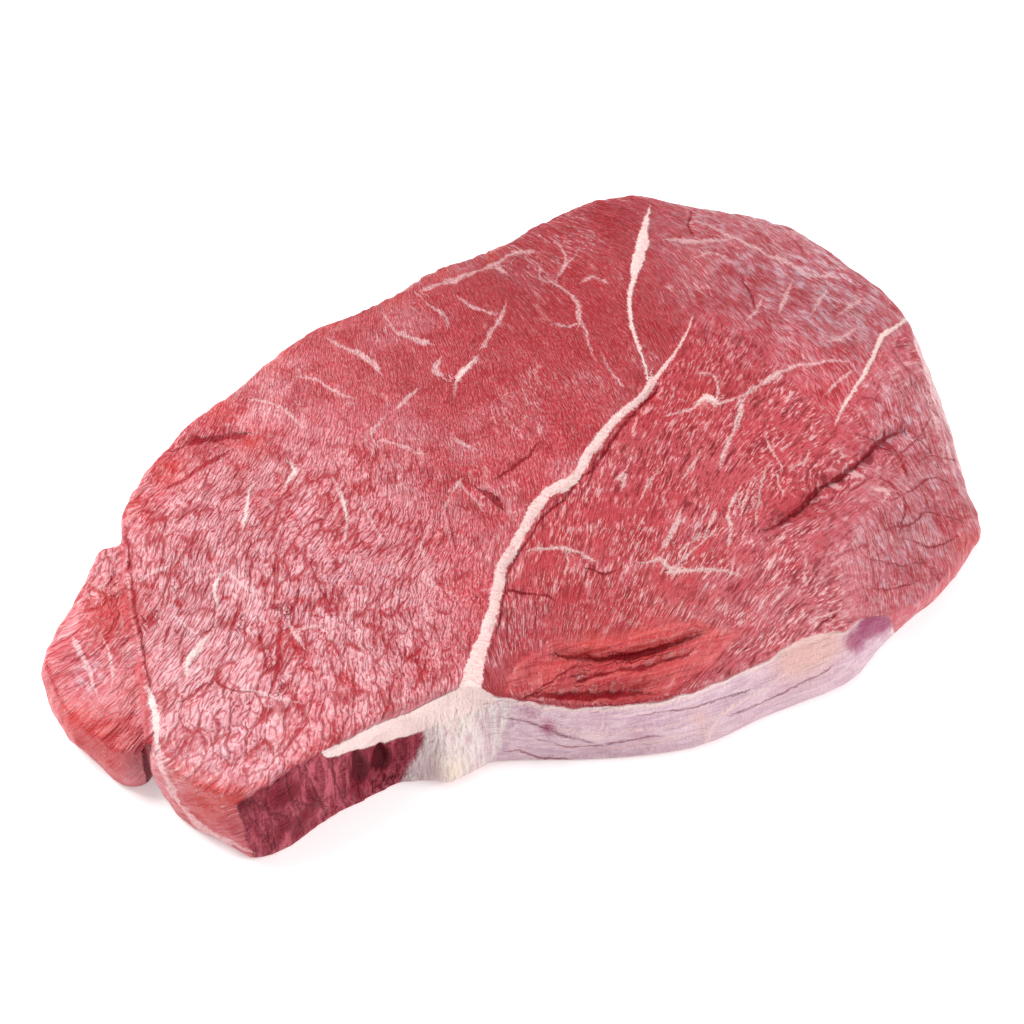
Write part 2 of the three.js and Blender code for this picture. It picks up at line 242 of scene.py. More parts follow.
# Painted shade: dark lines where shade falls in creases, folds, cracks and recesses
DARK_CREASES = [
    # beside the seam, across the right-hand muscle, above the front skin and round the flap
    BESIDE_SEAM,
    LONG_CREASE,
    [(885, 436, 1.4), (900, 458, 2), (908, 476, 1.2)],
    [(559, 655, 0.6), (580, 658, 1.4), (600, 659, 2), (625, 656, 2.6), (645, 653, 3),
     (668, 646, 2.2), (700, 634, 0.6)],
    MIDDLE_FOLD,
    LOWER_FOLD,
    [(520, 700, 0.5), (545, 685, 1), (568, 674, 1.2), (590, 667, 0.5)],
    [(127, 545, 1), (129, 570, 1.6), (133, 600, 2), (140, 640, 2.2), (147, 672, 2.4),
     (150, 690, 1.6)],
    [(152, 738, 2), (147, 750, 5.5), (146, 763, 6.5), (151, 777, 5)],
    [(167, 487, 1), (190, 476, 2.2), (212, 463, 2.6), (230, 452, 1.4)],
    LEFT_HOLLOW,
    TORN_POCKET,
    [(498, 478, 1), (512, 468, 2.2), (528, 455, 1.6), (536, 446, 0.8)],
    [(446, 512, 1), (452, 530, 1.3), (455, 548, 0.8)],
    BACK_NICK,
    RIGHT_NICK,
    [(505, 588, 1), (518, 592, 1.8), (534, 593, 1.4), (550, 598, 0.8)],
    [(590, 568, 0.8), (602, 574, 1.6), (612, 571, 1)],
    [(240, 606, 1), (236, 618, 2.4), (228, 640, 1)],
    [(245, 616, 0.6), (245, 630, 1.2), (244, 644, 0.7)],
    [(258, 620, 0.7), (261, 642, 1.3), (266, 668, 0.7)],
    [(281, 612, 1.4), (280, 640, 2.8), (277, 668, 2.6), (271, 694, 1.4)],
    [(300, 590, 1), (296, 602, 2.4), (290, 616, 1.4)],
    [(254, 556, 0.8), (250, 572, 1.2), (249, 586, 0.7)],
    [(276, 560, 0.8), (275, 584, 1.4), (274, 606, 0.7)],
    [(171, 560, 0.8), (167, 588, 1.6), (155, 622, 0.9)],
    [(310, 560, 0.8), (322, 590, 1.4), (332, 618, 0.8)],
    [(214, 604, 0.7), (212, 626, 1.2), (196, 636, 0.7)],
    [(208, 683, 1), (196, 692, 2.2), (182, 702, 1)],
    [(222, 662, 0.8), (216, 678, 1.6), (232, 690, 1), (250, 692, 0.6)],
    [(300, 664, 0.8), (290, 684, 1.4), (282, 700, 0.7)],
    [(196, 574, 0.8), (188, 582, 2.2), (180, 590, 0.8)],
    [(154, 612, 1), (150, 622, 2.6), (157, 620, 1)],
    [(170, 628, 1), (167, 636, 2.4), (164, 644, 1)],
    [(184, 632, 0.8), (180, 644, 1.6), (176, 652, 0.7)],
    # the crumpled right-hand end
    [(856, 436, 0.4), (880, 444, 1), (896, 456, 1.2), (904, 468, 0.5)],
    [(888, 456, 0.4), (904, 452, 1), (920, 436, 1.1), (928, 420, 0.5)],
    [(892, 500, 0.4), (916, 488, 1.1), (932, 476, 1.1), (952, 484, 0.5)],
    [(888, 528, 0.4), (912, 524, 1.1), (928, 512, 1.1), (960, 520, 0.5)],
    [(904, 420, 0.4), (920, 440, 1), (932, 452, 0.5)],
    [(880, 476, 0.4), (896, 488, 1.1), (904, 508, 1.2), (900, 532, 0.5)],
    [(920, 460, 0.4), (940, 456, 0.9), (952, 460, 0.5)],
    [(908, 540, 0.4), (932, 548, 1), (952, 540, 0.5)],
    [(860, 396, 0.4), (880, 404, 0.9), (892, 420, 0.5)],
    [(896, 352, 0.4), (908, 372, 0.9), (912, 396, 0.5)],
    [(920, 380, 0.4), (928, 404, 0.9), (940, 420, 0.5)],
    [(872, 560, 0.4), (896, 566, 0.9), (920, 562, 0.5)],
    [(868, 586, 0.4), (890, 590, 0.9), (912, 584, 0.5)],
    # the dark cut face
    [(269, 774, 0.6), (267, 800, 1.6), (271, 828, 1.6), (276, 852, 0.8)],
    [(286, 776, 0.6), (291, 800, 1.4), (300, 826, 0.7)],
    [(306, 768, 0.6), (315, 790, 1.4), (324, 814, 0.7)],
    [(333, 764, 0.6), (337, 786, 1.3), (346, 806, 0.7)],
    [(252, 800, 0.6), (266, 812, 1.3), (286, 816, 0.7)],
    [(296, 800, 0.6), (310, 806, 1.2), (330, 800, 0.6)],
    [(244, 806, 0.6), (256, 826, 1.2), (270, 846, 0.6)],
    [(350, 764, 1), (352, 780, 1.8), (348, 796, 1)],
    # the thin skin
    [(506, 750, 0.6), (522, 752, 1.2), (545, 758, 1.2), (568, 759, 0.6)],
    [(540, 740, 0.4), (575, 748, 0.7), (620, 743, 0.7), (660, 735, 0.4)],
    [(505, 717, 0.4), (545, 729, 0.7), (590, 741, 0.6)],
    [(640, 716, 0.4), (700, 706, 0.7), (745, 691, 0.4)],
    [(730, 715, 0.4), (780, 694, 0.7), (830, 668, 0.4)],
]

# ---- Outlines of the surfaces, in pixels ----

SILVERSKIN = [
    (470, 700), (492, 697), (520, 700), (546, 705), (574, 707), (600, 707), (650, 703), (680, 697),
    (706, 688), (725, 680), (750, 668), (768, 660), (790, 646), (801, 640), (822, 634), (844, 630),
    (860, 619), (872, 617), (886, 615), (893, 626), (902, 660), (880, 720), (760, 780), (600, 800),
    (470, 810), (445, 790), (470, 760), (480, 725),
]
FAT_EAVE = [
    (319, 753), (336, 745), (354, 736), (375, 726), (395, 717), (416, 708), (436, 699), (455, 690),
    (470, 680), (484, 690), (500, 699), (484, 708), (462, 716), (440, 724), (425, 730), (409, 735),
    (397, 738), (381, 745), (368, 748), (354, 751), (341, 755), (327, 758),
]
FRONT_TISSUE = [
    (425, 728), (445, 712), (480, 700), (512, 702), (505, 730), (492, 765), (470, 800), (392, 800),
    (404, 776), (419, 752), (426, 738),
]
DARK_FACE = [
    (236, 803), (250, 797), (263, 789), (282, 776), (300, 763), (325, 757), (354, 749), (381, 744),
    (409, 734), (428, 728), (424, 748), (412, 770), (392, 800), (340, 850), (262, 890), (250, 850),
    (242, 822),
]
RIGHT_MUSCLE = [
    (692, 319), (680, 345), (650, 384), (618, 419), (585, 460), (546, 492), (513, 543), (495, 591),
    (481, 647), (472, 690), (520, 740), (760, 760), (1000, 620), (1010, 440), (900, 330),
    (836, 421), (795, 380), (745, 330), (712, 312),
]
TORN_FLAP = [
    (459, 480), (470, 494), (484, 514), (492, 536), (472, 548), (450, 540), (441, 514),
]
STRANDS = [
    (502, 692), (516, 660), (556, 640), (620, 630), (700, 620), (742, 634), (716, 662), (660, 694),
    (600, 702), (545, 700),
]
PALE_END = [
    (900, 318), (916, 352), (930, 392), (944, 425), (955, 452), (966, 497), (1010, 500),
    (1000, 420), (960, 330), (920, 290),
]
CRUMPLED_END = [
    (866, 424), (905, 372), (930, 380), (950, 430), (975, 500), (985, 545), (950, 600), (905, 625),
    (862, 610), (850, 560), (872, 505), (905, 450),
]

# Broad changes of tone, which also paint sheen, shade and light: across, down, radius in pixels
# and strength
# Pale pink, partly the meat's own paler tone and partly painted sheen
PALE_SPOTS = [
    (190, 560, 80, 0.7), (270, 640, 110, 0.9), (200, 720, 80, 0.95), (330, 540, 90, 0.45),
    (370, 640, 70, 0.45), (420, 600, 60, 0.5), (260, 480, 80, 0.5), (760, 600, 90, 0.25),
    (860, 560, 70, 0.35), (800, 280, 60, 0.6), (930, 440, 50, 0.6), (350, 400, 80, 0.25),
    (720, 610, 60, 0.35), (230, 760, 60, 0.8), (820, 600, 50, 0.4), (550, 660, 16, 0.5),
    (505, 675, 14, 0.4),
]
# Lilac tone, partly the silvery film and partly painted sheen
COOL_SPOTS = [
    (790, 262, 80, 0.85), (850, 300, 60, 0.7), (920, 420, 60, 0.8), (940, 510, 50, 0.6),
    (880, 540, 45, 0.4), (700, 235, 50, 0.5), (310, 610, 90, 0.35), (180, 600, 60, 0.35),
    (230, 740, 60, 0.4), (90, 668, 18, 0.8), (900, 580, 50, 0.5), (84, 690, 16, 0.4),
]
# Deep red, partly the meat's own tone and partly painted shade in the recesses of the cut face, in
# the folds above the front skin and in the gap beside the flap
DEEP_SPOTS = [
    (520, 420, 90, 0.4), (600, 300, 110, 0.55), (700, 330, 70, 0.6), (480, 350, 90, 0.3),
    (560, 600, 60, 0.5), (620, 670, 70, 0.6), (820, 500, 50, 0.5), (640, 480, 60, 0.4),
    (210, 450, 50, 0.35), (520, 520, 30, 0.4), (130, 620, 25, 0.5), (560, 260, 80, 0.5),
    (340, 360, 60, 0.35), (730, 350, 60, 0.5), (105, 600, 35, 0.5), (262, 815, 26, 0.45),
    (670, 450, 70, 0.3), (760, 420, 60, 0.3), (366, 775, 14, 0.9), (386, 762, 12, 0.9),
    (520, 300, 80, 0.35), (112, 600, 36, 0.5), (120, 740, 40, 0.3), (640, 690, 40, 0.4),
    (620, 240, 50, 0.4), (100, 745, 40, 0.5), (58, 690, 22, 0.4), (232, 802, 14, 0.5),
    (203, 802, 28, 0.5), (240, 835, 12, 0.4), (361, 757, 7, 0.8), (361, 768, 6, 0.8),
    (359, 780, 6, 0.7), (384, 752, 8, 0.9), (379, 764, 7, 0.8), (410, 745, 9, 0.6),
    (146, 745, 9, 0.8), (200, 815, 36, 0.4), (250, 800, 12, 0.3), (95, 694, 34, 0.4),
    (190, 770, 16, 0.4), (730, 352, 40, 0.4), (590, 690, 26, 0.7), (550, 690, 22, 0.6),
    (630, 686, 24, 0.5), (520, 684, 14, 0.4), (670, 660, 24, 0.4),
]
# Orange-red, partly the meat's own colour and partly painted light on the rims and on the lips of
# the folds
ORANGE_SPOTS = [
    (165, 470, 18, 0.8), (215, 405, 16, 0.8), (270, 355, 15, 0.9), (330, 318, 13, 1.0),
    (390, 297, 12, 1.0), (440, 268, 12, 1.0), (490, 252, 12, 1.0), (130, 500, 14, 0.6),
    (250, 445, 16, 0.8), (70, 720, 24, 0.6), (55, 620, 16, 0.4), (120, 735, 22, 0.6),
    (965, 545, 20, 0.5), (600, 640, 22, 0.45), (700, 262, 22, 0.35), (652, 640, 22, 0.4),
    (175, 772, 12, 0.7), (200, 790, 14, 0.8), (222, 797, 16, 0.8), (240, 800, 12, 0.8),
    (262, 785, 8, 0.6), (300, 762, 8, 0.5), (210, 812, 18, 0.3), (110, 770, 16, 0.6),
    (545, 680, 12, 0.4), (640, 668, 18, 0.3), (680, 655, 18, 0.2), (590, 642, 16, 0.3),
    (560, 648, 14, 0.3), (560, 664, 10, 0.4), (505, 688, 10, 0.4), (115, 615, 34, 0.55),
    (130, 690, 18, 0.5), (715, 640, 18, 0.3), (700, 400, 14, 0.5), (280, 640, 12, 0.35),
    (195, 800, 26, 0.3), (90, 730, 24, 0.4), (560, 560, 40, 0.25), (680, 600, 50, 0.3),
]
SMOOTH_SPOTS = [
    (90, 690, 46, 0.8), (205, 800, 40, 0.8), (130, 620, 24, 0.3), (110, 745, 36, 0.7),
]
PEACH_SPOTS = [
    (790, 662, 20, 0.9), (812, 652, 20, 1.0), (830, 644, 14, 0.9), (453, 768, 14, 0.8),
    (450, 712, 24, 0.4), (700, 718, 8, 0.7),
]
PURPLE_SPOTS = [
    (854, 642, 12, 0.8), (870, 626, 12, 1.0), (886, 622, 10, 0.7), (529, 712, 12, 0.4),
    (548, 728, 9, 0.6), (643, 738, 22, 0.3), (600, 722, 20, 0.2),
]

# ---- Folds in the mesh: a path in pixels, depth in millimetres and reach in pixels ----

FOLDS = [
    (LONG_CREASE[::-1], 1.3, 5),
    ([(559, 655), (580, 659), (600, 660), (625, 657), (645, 653), (668, 646), (700, 634)], 0.9, 4),
    ([(520, 668), (540, 655), (562, 646), (600, 648), (640, 643), (690, 628)], -1.0, 6),
    (MIDDLE_FOLD, 0.7, 4),
    ([(548, 688), (570, 673), (600, 666), (650, 659), (710, 641)], -0.6, 4),
    (LOWER_FOLD, 0.8, 5),
    ([(560, 687), (600, 682), (640, 677), (690, 668)], -0.5, 3.5),
    (BESIDE_SEAM, 0.5, 4), (TORN_POCKET, 1.0, 6),
    ([(498, 478), (512, 468), (528, 455)], 0.6, 5), (LEFT_HOLLOW, 0.8, 7),
    ([(127, 545), (133, 600), (140, 640), (147, 672), (150, 690)], 0.8, 4),
    ([(459, 488), (448, 520)], -0.6, 6),
    ([(361, 762), (361, 774), (358, 800)], 2.2, 6),
    ([(384, 754), (383, 764), (376, 790)], 2.4, 6),
    ([(341, 770), (338, 800)], 1.0, 6),
    ([(403, 750), (398, 767), (392, 785)], 1.6, 5),
    ([(313, 766), (308, 812)], 0.8, 6), ([(280, 786), (276, 836)], 0.6, 6),
    ([(452, 764), (452, 772)], -1.2, 12),
    ([(557, 734), (600, 737), (633, 730), (680, 726)], -0.5, 4),
    ([(520, 722), (570, 728), (620, 722), (690, 712)], 0.4, 4),
    ([(520, 744), (600, 748), (680, 738), (740, 722)], 0.4, 4),
    (SKIN_CORD, -0.7, 3), (RIGHT_NICK, 0.6, 6), (BACK_NICK, 0.7, 6),
]

# ---- Helpers for points ----

# Large odd numbers that scatter a corner's place and seed over 16 bits
SCATTER = (73856093, 19349663, 83492791, 668265263)
SPREAD_BITS = 1274126177


def smooth(low, high, value):
    """0 at low and 1 at high, with soft ends. low may be the larger."""
    share = np.clip((value - low) / (high - low), 0, 1)
    return share * share * (3 - 2 * share)


def lattice(points, seed):
    """Smooth noise from -1 to 1, with features about one unit across."""
    cell = np.floor(points).astype(np.int64)
    blend = points - cell
    blend = blend * blend * (3 - 2 * blend)
    total = np.zeros(len(points))
    for corner in itertools.product((0, 1), repeat=3):
        x, y, z = (cell + corner).T
        bits = x * SCATTER[0] ^ y * SCATTER[1] ^ z * SCATTER[2] ^ seed * SCATTER[3]
        bits = (bits ^ (bits >> 13)) * SPREAD_BITS
        value = ((bits ^ (bits >> 16)) & 0xFFFF) / 32767.5 - 1
        total += value * np.prod(np.where(corner, blend, 1 - blend), axis=1)
    return total


def noises(points, size, seeds):
    """Smooth noise with features of a size in millimetres, a column for each seed."""
    return np.stack([lattice(points / (size * MM), seed) for seed in seeds], 1)


def layered(points, layers):
    """The sum of layers of smooth noise, each a height, a size in the points' unit and a seed."""
    return sum(height * lattice(points / size, seed) for height, size, seed in layers)


def curved(path, steps=4):
    """A path's points with smooth in-between points, so that it bends without corners."""
    points = [np.array(p, float) for p in path]
    ends = [2 * points[0] - points[1]] + points + [2 * points[-1] - points[-2]]
    out = []
    for p0, p1, p2, p3 in zip(ends, ends[1:], ends[2:], ends[3:]):
        for step in range(steps):
            t = step / steps
            out.append(
                0.5 * (2 * p1 + (p2 - p0) * t + (2 * p0 - 5 * p1 + 4 * p2 - p3) * t * t
                       + (3 * p1 - p0 - 3 * p2 + p3) * t * t * t)
            )
    return np.array(out + [points[-1]])


def beside(pixels, a, b):
    """The share of the way from a to b that is nearest to each point, and the way from there."""
    step = b - a
    offset = pixels - a
    share = np.clip(offset @ step / (step @ step), 0, 1)
    return share, offset - share[:, None] * step


def line_field(pixels, paths, reach=40):
    """Signed distance, distance and half width at the nearest line, in pixels."""
    signed = np.full(len(pixels), float(reach))
    away = signed.copy()
    half = np.zeros(len(pixels))
    for path in map(curved, paths):
        low, high = path[:, :2].min(0) - reach, path[:, :2].max(0) + reach
        near = np.nonzero(np.all((pixels > low) & (pixels < high), axis=1))[0]
        for a, b in zip(path[:-1], path[1:]):
            share, rest = beside(pixels[near], a[:2], b[:2])
            distance = np.hypot(rest[:, 0], rest[:, 1])
            width = a[2] + (b[2] - a[2]) * share
            nearer = distance - width < away[near] - half[near]
            at = near[nearer]
            side = np.sign((b[0] - a[0]) * rest[:, 1] - (b[1] - a[1]) * rest[:, 0])
            signed[at] = (side * distance)[nearer]
            away[at] = distance[nearer]
            half[at] = width[nearer]
    return np.stack([signed, away, half], axis=1)


def area_field(pixels, outline):
    """How far inside an outline each point is, in pixels, negative outside."""
    corners = np.array(outline, float)
    nearest = np.full(len(pixels), 1e9)
    inside = np.zeros(len(pixels), bool)
    for a, b in zip(corners, np.roll(corners, -1, axis=0)):
        nearest = np.minimum(nearest, np.linalg.norm(beside(pixels, a, b)[1], axis=1))
        spans = (a[1] > pixels[:, 1]) != (b[1] > pixels[:, 1])
        crossing = a[0] + (pixels[:, 1] - a[1]) * (b[0] - a[0]) / (b[1] - a[1] or 1e-9)
        inside ^= spans & (pixels[:, 0] < crossing)
    return np.where(inside, nearest, -nearest)


def spot_field(pixels, spots, most=1.0):
    """The sum of soft spots at each point, up to a limit."""
    across, down, radius, strength = np.array(spots).T
    away = np.hypot(pixels[:, :1] - across, pixels[:, 1:] - down)
    return np.minimum(np.exp(-((away / radius) ** 2)) @ strength, most)


# ---- The fine mesh ----

VOXEL = 0.0007
SMOOTHING_ROUNDS = 9
UNDERSIDE_TOP = 0.0003
UNDERSIDE_SHARE = 0.7
# Relief fades out from the second height down to the first
FLOOR_GUARD = (0.0006, 0.004)
TOP_HEIGHT = 0.0235
# How much a shown surface must face the camera, and how high it must be
SHOWN_FACING = 0.12
SHOWN_HEIGHT = 0.0005
# An area's field where the photograph shows nothing, in pixels
FAR_OUTSIDE = -40
# Where each muscle's fibres fan out from and a place that they run to, in pixels, and the
# distance in millimetres at which their width is true
LEFT_FAN = ((390, 235), (300, 600), 110)
RIGHT_FAN = ((572, 748), (705, 480), 60)
# How far the fibres wander in millimetres, and how they shift with each millimetre of height
LEFT_WANDER, RIGHT_WANDER = 0.38, 0.12
LEAN_ALONG, LEAN_ACROSS = 0.6, -0.8
# Layers of relief: height and size of the features in millimetres, and seed. The muscles'
# sizes are along the fibres, across them and in height.
BROAD_LAYERS = [(0.35, 11, 3), (0.25, 5.5, 4), (0.13, 2.6, 9), (0.1, 1.7, 10)]
WALL_LAYERS = [(0.35, 3.2, 15)]
LEFT_LAYERS = [(0.36, (7, 2.6, 3), 7), (0.28, (3.8, 1.5, 1.6), 8)]
RIGHT_LAYERS = [(0.42, (9, 2.6, 2.6), 5), (0.28, (5, 1.5, 1.5), 6)]

# The shader's masks, up to three to an attribute. A mottle's number is its size in millimetres.
PACKS = {
    "areas": ("skin", "eave", "tissue"),
    "muscles": ("dark_face", "strands", "right"),
    "tones": ("pale", "cool", "deep"),
    "tints": ("orange", "peach", "purple"),
    "surface": ("crackle", "smoothness"),
    "walls": ("wall", "behind"),
    "mottles": ("mottle_9", "mottle_4", "mottle_3"),
}


def column(items, name, kind, width):
    """One property of all of a mesh's vertices, faces or corners, a row for each."""
    values = np.zeros(len(items) * width, kind)
    items.foreach_get(name, values)
    return values.reshape(-1, width)


def vectors(items, name):
    return column(items, name, np.float32, 3).astype(float)


def with_modifier(piece, kind, **settings):
    """Adds a modifier to the piece, sets it and makes its result the piece's own mesh."""
    modifier = piece.modifiers.new(kind.lower(), kind)
    for name, value in settings.items():
        setattr(modifier, name, value)
    graph = bpy.context.evaluated_depsgraph_get()
    piece.data = bpy.data.meshes.new_from_object(piece.evaluated_get(graph))
    piece.modifiers.clear()


def fine_copy(node):
    piece = bpy.data.objects.new("steak_meat", node.data.copy())
    scene.collection.objects.link(piece)
    piece.data.materials.clear()
    with_modifier(piece, "REMESH", mode="VOXEL", voxel_size=VOXEL)
    with_modifier(piece, "SMOOTH", factor=0.5, iterations=SMOOTHING_ROUNDS)
    group = piece.vertex_groups.new(name="underside")
    low = np.nonzero(vectors(piece.data.vertices, "co")[:, 2] < UNDERSIDE_TOP)[0]
    group.add(low.tolist(), 1.0, "REPLACE")
    with_modifier(piece, "DECIMATE", ratio=UNDERSIDE_SHARE, vertex_group="underside")
    piece.vertex_groups.clear()
    return piece


def add_attribute(mesh, name, values):
    attribute = mesh.attributes.new(name, "FLOAT_VECTOR", "POINT")
    padded = np.zeros((len(values), 3), np.float32)
    padded[:, :values.shape[1]] = values
    attribute.data.foreach_set("vector", padded.ravel())


def seen_pixels(points, normals):
    """Each point's place in the photograph. A point that the photograph doesn't show takes the
    place of the upper face above it, so that what shows there goes down through the meat."""
    shown = (normals @ BACK > SHOWN_FACING) & (points[:, 2] > SHOWN_HEIGHT)
    lifted = points.copy()
    lifted[:, 2] = TOP_HEIGHT
    return np.where(shown[:, None], to_pixels(points), to_pixels(lifted)), shown


def fan_out(points, middle, aim, scale):
    """Coordinates in millimetres along and across fibres that fan out from one place."""
    x, y, z = (points / MM).T
    start = to_plan(*middle, TOP_HEIGHT) / MM
    ahead = to_plan(*aim, TOP_HEIGHT) / MM - start
    away = np.hypot(x - start[0], y - start[1]) + 1.0
    turn = np.arctan2(y - start[1], x - start[0]) - math.atan2(ahead[1], ahead[0])
    turn = (turn + math.pi) % (2 * math.pi) - math.pi
    across = turn * np.sqrt(away * scale)
    return np.stack([away + LEAN_ALONG * z, across + LEAN_ACROSS * z, z], 1)


def fibre_flow(points):
    """Coordinates along and across the fibres of the two muscles, with slow bends on the left.
    Both lean with the height, so that a flat pattern laid on them doesn't stand on a wall."""
    bent = points + 5 * MM * noises(points, 32, (21, 22, 23))
    left = fan_out(bent, *LEFT_FAN)
    right = fan_out(points, *RIGHT_FAN)
    wander = noises(points, 3.6, (24, 25)) + 0.45 * noises(points, 1.7, (26, 27))
    left[:, :2] += LEFT_WANDER * wander
    right[:, :2] += RIGHT_WANDER * wander
    return left, right


def fold_depth(pixels):
    """How far the folds go in, in millimetres. A fold is steep on its upper side."""
    depth = np.zeros(len(pixels))
    for path, deep, reach in FOLDS:
        line = [(*place[:2], 0.0) for place in path]
        field = line_field(pixels, [line], reach=5 * reach)
        side = np.where(field[:, 0] > 0, reach * 1.5, reach * 0.7)
        depth += deep * np.exp(-((field[:, 1] / side) ** 2))
    return depth


def relief(points, normals, pixels, left_flow, fan, m, seams):
    """How far each point moves out along its normal."""
    up = smooth(0.35, 0.8, normals[:, 2])
    left = layered(left_flow, LEFT_LAYERS) * (1 - m.right) * (0.5 + 0.5 * m.crackle)
    out = layered(points / MM, BROAD_LAYERS)
    out += up * (layered(fan, RIGHT_LAYERS) * m.right + left)
    out += (1 - up) * layered(points / MM, WALL_LAYERS)
    out = out * (1 - 0.75 * m.front)
    raised = smooth(1.2, 0.2, seams[:, 1] / np.maximum(seams[:, 2], 0.5))
    out = out * (1 - 0.7 * raised) + 0.22 * up * raised * smooth(2, 5, seams[:, 2])
    out += 0.8 * smooth(-2, 5, area_field(pixels, TORN_FLAP)) * up
    return (out - fold_depth(pixels)) * smooth(*FLOOR_GUARD, points[:, 2]) * MM


def grown(points, normals):
    """The mesh's attributes for each point of the steak, and where the point moves to."""
    pixels, shown = seen_pixels(points, normals)
    left_flow, fan = fibre_flow(points)
    wobble = 2.2 * noises(points, 4, (11, 12)) + 1.1 * noises(points, 1.6, (13, 14))
    loose = pixels + wobble
    seams = line_field(pixels + 0.35 * wobble, FAT_SEAMS)

    m = SimpleNamespace()
    m.wall = smooth(0.75, 0.45, normals[:, 2])
    # Walls that face away from the camera, where the material paints shade
    m.behind = m.wall * smooth(0.1, -0.3, normals @ BACK)
    m.skin = np.where(shown, area_field(loose, SILVERSKIN), FAR_OUTSIDE)
    m.eave = np.where(shown, area_field(pixels, FAT_EAVE), FAR_OUTSIDE)
    m.tissue = np.where(shown, area_field(loose, FRONT_TISSUE), FAR_OUTSIDE)
    m.dark_face = np.where(shown, area_field(loose, DARK_FACE), FAR_OUTSIDE)
    m.strands = smooth(-6, 6, area_field(loose, STRANDS))
    crumpled = smooth(-36, 18, area_field(loose, CRUMPLED_END))
    m.right = smooth(-8, 8, area_field(pixels, RIGHT_MUSCLE)) * (1 - 0.75 * crumpled)
    crackle = smooth(560, 420, pixels[:, 0]) * smooth(330, 520, pixels[:, 1])
    m.crackle = np.maximum(np.maximum(crackle, 0.4) * (1 - m.right), 0.8 * crumpled)

    pale_end = 0.7 * smooth(-6, 8, area_field(loose, PALE_END))
    m.front = np.maximum(smooth(-4, 4, m.skin), smooth(-4, 4, m.tissue))
    spots = spot_field(pixels, SMOOTH_SPOTS, 0.8)
    m.smoothness = np.max([m.front, pale_end, 0.9 * m.strands, spots], axis=0)

    m.pale = spot_field(pixels, PALE_SPOTS, 1.2)
    # Lilac tone with painted sheen, strongest at the smooth right-hand end
    m.cool = np.minimum(spot_field(pixels, COOL_SPOTS, 1.2) + 0.6 * pale_end, 1.2)
    m.deep = spot_field(pixels, DEEP_SPOTS)
    hidden = ~shown & (np.abs(normals[:, 2]) < 0.6)
    under_skin = smooth(0.02, 0.09, points[:, 0]) * smooth(-0.06, -0.04, points[:, 1])
    m.cool[hidden] = 0.8 * under_skin[hidden]
    m.pale[hidden] = 0.3 * under_skin[hidden]
    m.deep[hidden] = 0.7 - 0.4 * under_skin[hidden]
    m.orange = spot_field(pixels, ORANGE_SPOTS) * ~hidden
    m.peach = spot_field(pixels, PEACH_SPOTS) * shown
    m.purple = spot_field(pixels, PURPLE_SPOTS) * shown
    for size in (9, 4, 3):
        setattr(m, f"mottle_{size}", 0.5 + 0.5 * lattice(points / (size * MM), 31 + size))

    attributes = {"seams": seams, "left_flow": left_flow, "fan": fan}
    attributes["marbling"] = line_field(pixels + 0.6 * wobble, MARBLING)
    attributes["creases"] = line_field(pixels + 0.8 * wobble, DARK_CREASES)
    for pack, names in PACKS.items():
        attributes[pack] = np.stack([getattr(m, name) for name in names], 1)
    shift = relief(points, normals, loose, left_flow, fan, m, seams)
    return attributes, points + normals * shift[:, None]


def flat_map(mesh):
    """An unwrapping for baked textures: the top, the underside and the sides in turn."""
    layer = mesh.uv_layers.new(name="OFBake")
    low, high = np.array(cad_low), np.array(cad_high)
    corners = column(mesh.loops, "vertex_index", np.int32, 1)[:, 0]
    sizes = column(mesh.polygons, "loop_total", np.int32, 1)[:, 0]
    tilt = np.repeat(vectors(mesh.polygons, "normal"), sizes, axis=0)
    place = (vectors(mesh.vertices, "co")[corners] - low) / (high - low)
    turn = np.arctan2(tilt[:, 1], tilt[:, 0]) / (2 * math.pi) + 0.5
    uv = np.stack([place[:, 0] * 0.98, 0.34 + place[:, 1] * 0.64], 1)
    under = tilt[:, 2] < -0.5
    uv[under] = np.stack([place[:, 0] * 0.4, place[:, 1] * 0.26], 1)[under]
    side = np.abs(tilt[:, 2]) <= 0.5
    uv[side] = np.stack([0.42 + turn * 0.56, place[:, 2] * 0.3], 1)[side]
    layer.data.foreach_set("uv", uv.astype(np.float32).ravel())


def build_steak():
    piece = fine_copy(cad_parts["steak"])
    mesh = piece.data
    places, normals = (vectors(mesh.vertices, name) for name in ("co", "normal"))
    attributes, moved = grown(places, normals)
    moved[:, 2] = np.maximum(moved[:, 2], 0.0)
    mesh.vertices.foreach_set("co", moved.astype(np.float32).ravel())
    mesh.update()
    for name, values in attributes.items():
        add_attribute(mesh, name, values)
    flat_map(mesh)
    mesh.polygons.foreach_set("use_smooth", np.ones(len(mesh.polygons), bool))
    return piece


# ---- The material ----

# The light on the upper face and on the front. The front's colours are divided by less light, so
# they come out lighter than the same stuff on top: painted light that makes up for the shade on
# the front.
TOP = 1.27
FRONT = 1.05


def rgb(red, green, blue, light=TOP):
    """The surface colour that looks like an sRGB colour of 0 to 255 under the studio's light."""
    shares = [c / 255 for c in (red, green, blue)]
    linear = [s / 12.92 if s <= 0.04045 else ((s + 0.055) / 1.055) ** 2.4 for s in shares]
    return (*(c / light for c in linear), 1.0)


LEAN = rgb(214, 60, 74)
# Pale pink, for painted sheen on the lean and for the ribs across the seams
LEAN_PALE = rgb(234, 152, 162)
LEAN_DEEP = rgb(184, 30, 44)
# Lilac lean and a paler sheen colour, partly the silvery film and partly painted sheen
LEAN_COOL = rgb(198, 106, 122)
SHEEN = rgb(228, 190, 202)
# Dark reds of painted shade in cracks, creases and hollows
CRACK = rgb(126, 8, 20)
RED_CRACK = rgb(172, 20, 34)
HOLLOW = rgb(90, 14, 28)
